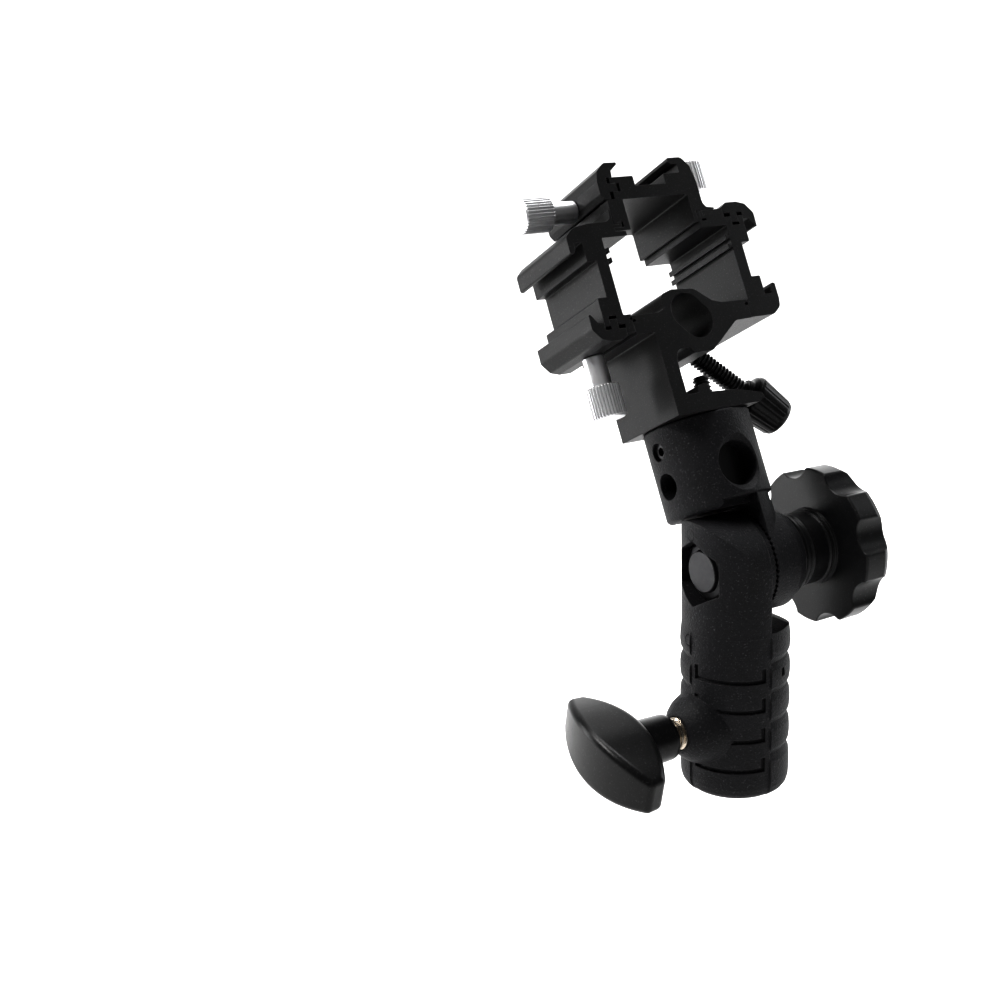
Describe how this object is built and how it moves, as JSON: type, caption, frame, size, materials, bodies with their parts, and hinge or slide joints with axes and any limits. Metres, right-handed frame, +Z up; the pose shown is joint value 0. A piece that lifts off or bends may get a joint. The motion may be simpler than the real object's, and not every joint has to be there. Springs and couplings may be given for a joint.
{
  "type": "umbrella swivel bracket",
  "caption": "Tilting bracket for a light stand: a clamped socket, a serrated tilt joint with a scalloped knob, an umbrella bore and a block of sliding-jaw accessory shoes.",
  "frame": {"origin": "centre of the stand socket's mouth, on the socket axis", "axes": "+Z up the socket axis, +X along the tilt pivot toward the scalloped knob, +Y the way the head leans at rest"},
  "size_m": [0.0741, 0.0727, 0.1477],
  "materials": {
    "nylon": "fine textured glass-filled nylon",
    "handle_plastic": "satin moulded",
    "knob_plastic": "satin gloss moulded",
    "anodised": "black anodised, extruded",
    "bright_aluminium": "turned, straight knurl",
    "nickel_steel": "nickel plated",
    "zinc_steel": "dark zinc plated",
    "black_steel": "black oxide",
    "spigot_metal": "dark plated",
    "washer_black": "smooth",
    "brass": "turned",
    "pad_nylon": "natural nylon"
  },
  "bodies": {
    "socket": {"stand_socket_body": "nylon", "tscrew_insert": "brass", "pivot_bolt": "zinc_steel"},
    "head": {"upper_swivel": "nylon", "spigot": "spigot_metal", "spigot_set_screw": "black_steel", "head_stud": "black_steel", "foot_rail": "anodised", "left_shoe_rail": "anodised", "top_shoe_rail": "anodised", "right_shoe_rail": "anodised"},
    "thrust": {"knob_washer": "washer_black"},
    "knob": {"swivel_knob": "knob_plastic", "knob_insert": "brass"},
    "tpad": {"tscrew_pad": "pad_nylon"},
    "tscrew": {"tscrew_stud": "nickel_steel", "tscrew_handle": "handle_plastic"},
    "upad": {"umbrella_pad": "pad_nylon"},
    "uscrew": {"umbrella_stud": "black_steel", "umbrella_knob": "handle_plastic"},
    "left_jaw": {"left_jaw": "anodised"},
    "left_screw": {"left_thumbscrew": "bright_aluminium"},
    "top_jaw": {"top_jaw": "anodised"},
    "top_screw": {"top_thumbscrew": "bright_aluminium"},
    "right_jaw": {"right_jaw": "anodised"},
    "right_screw": {"right_thumbscrew": "bright_aluminium"}
  },
  "joints": [
    {"name": "tilt", "type": "hinge", "parent": "socket", "child": "head", "pos_m": [0, 0, 0.0555], "axis": [1, 0, 0], "range_deg": [-64, 116]},
    {"name": "knob_advance", "type": "slide", "parent": "socket", "child": "thrust", "axis": [1, 0, 0], "range_m": [0, 0.0025]},
    {"name": "knob_turn", "type": "hinge", "parent": "thrust", "child": "knob", "pos_m": [0, 0, 0.0555], "axis": [1, 0, 0], "range_deg": [0, 720]},
    {"name": "tscrew_advance", "type": "slide", "parent": "socket", "child": "tpad", "axis": [-1, 0, 0], "range_m": [-0.0004, 0.0025]},
    {"name": "tscrew_turn", "type": "hinge", "parent": "tpad", "child": "tscrew", "pos_m": [-0.02, 0, 0.0167], "axis": [-1, 0, 0], "range_deg": [-115.2, 720]},
    {"name": "umbrella_advance", "type": "slide", "parent": "head", "child": "upad", "axis": [0.7193, -0.3045, -0.6244], "range_m": [-0.0025, 0.001]},
    {"name": "umbrella_turn", "type": "hinge", "parent": "upad", "child": "uscrew", "pos_m": [0.007, 0.02161, 0.0998], "axis": [0.7193, -0.3045, -0.6244], "range_deg": [-900, 360]},
    {"name": "left_jaw_slide", "type": "slide", "parent": "head", "child": "left_jaw", "axis": [0, -0.4384, -0.8988], "range_m": [-0.0006, 0.0012]},
    {"name": "left_screw_turn", "type": "hinge", "parent": "left_jaw", "child": "left_screw", "pos_m": [-0.0231, 0.02244, 0.10152], "axis": [0, -0.4384, -0.8988], "range_deg": [-432, 864]},
    {"name": "top_jaw_slide", "type": "slide", "parent": "head", "child": "top_jaw", "axis": [-1, 0, 0], "range_m": [-0.0006, 0.0012]},
    {"name": "top_screw_turn", "type": "hinge", "parent": "top_jaw", "child": "top_screw", "pos_m": [-0.0205, 0.03937, 0.13621], "axis": [-1, 0, 0], "range_deg": [-432, 864]},
    {"name": "right_jaw_slide", "type": "slide", "parent": "head", "child": "right_jaw", "axis": [0, 0.4384, 0.8988], "range_m": [-0.0006, 0.0012]},
    {"name": "right_screw_turn", "type": "hinge", "parent": "right_jaw", "child": "right_screw", "pos_m": [0.0181, 0.03823, 0.13387], "axis": [0, 0.4384, 0.8988], "range_deg": [-432, 864]}
  ],
  "couplings": [
    {"joint": "knob_turn", "follows": "knob_advance", "rad_per_m": 5026.5},
    {"joint": "tscrew_turn", "follows": "tscrew_advance", "rad_per_m": 5026.5},
    {"joint": "umbrella_turn", "follows": "umbrella_advance", "rad_per_m": 6283.2},
    {"joint": "left_screw_turn", "follows": "left_jaw_slide", "rad_per_m": 12566},
    {"joint": "top_screw_turn", "follows": "top_jaw_slide", "rad_per_m": 12566},
    {"joint": "right_screw_turn", "follows": "right_jaw_slide", "rad_per_m": 12566}
  ]
}
